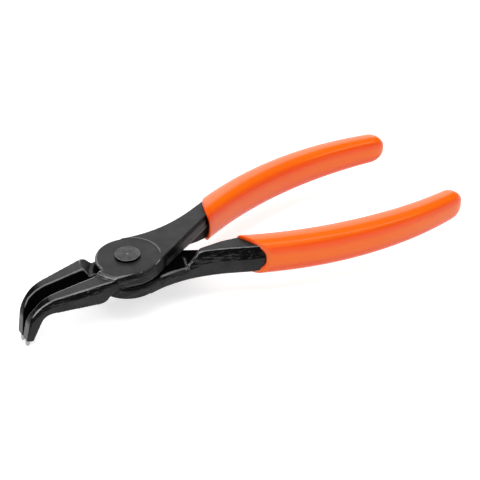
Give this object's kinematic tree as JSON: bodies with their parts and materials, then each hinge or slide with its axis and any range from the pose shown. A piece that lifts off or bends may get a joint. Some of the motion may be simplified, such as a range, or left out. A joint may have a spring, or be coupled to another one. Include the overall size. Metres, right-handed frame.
{
  "type": "circlip pliers",
  "caption": "Circlip pliers for bores: forged halves crossing in a riveted lap joint, jaws bent down to slim steel tips, bowed handles with dipped plastic grips.",
  "frame": {"origin": "middle of the rivet's upper end face, on the pivot axis", "axes": "+X from the pivot towards the handle ends, +Y towards the handle of the upper half, +Z along the pivot axis away from the bent tips"},
  "size_m": [0.1779, 0.0668, 0.0245],
  "materials": {
    "black_steel": "black phosphated forging, satin",
    "rivet_steel": "blackened, ground flat",
    "bare_steel": "bare turned steel",
    "orange_grip": "dipped soft plastic, satin"
  },
  "bodies": {
    "lower": {"lower_half": "black_steel", "pivot_rivet": "rivet_steel", "lower_tip": "bare_steel", "lower_grip": "orange_grip"},
    "upper": {"upper_half": "black_steel", "upper_tip": "bare_steel", "upper_grip": "orange_grip"}
  },
  "joints": [
    {"name": "pivot", "type": "hinge", "parent": "lower", "child": "upper", "pos_m": [0, 0, -0.00675], "axis": [0, 0, 1], "range_deg": [-0.7, 22]}
  ]
}
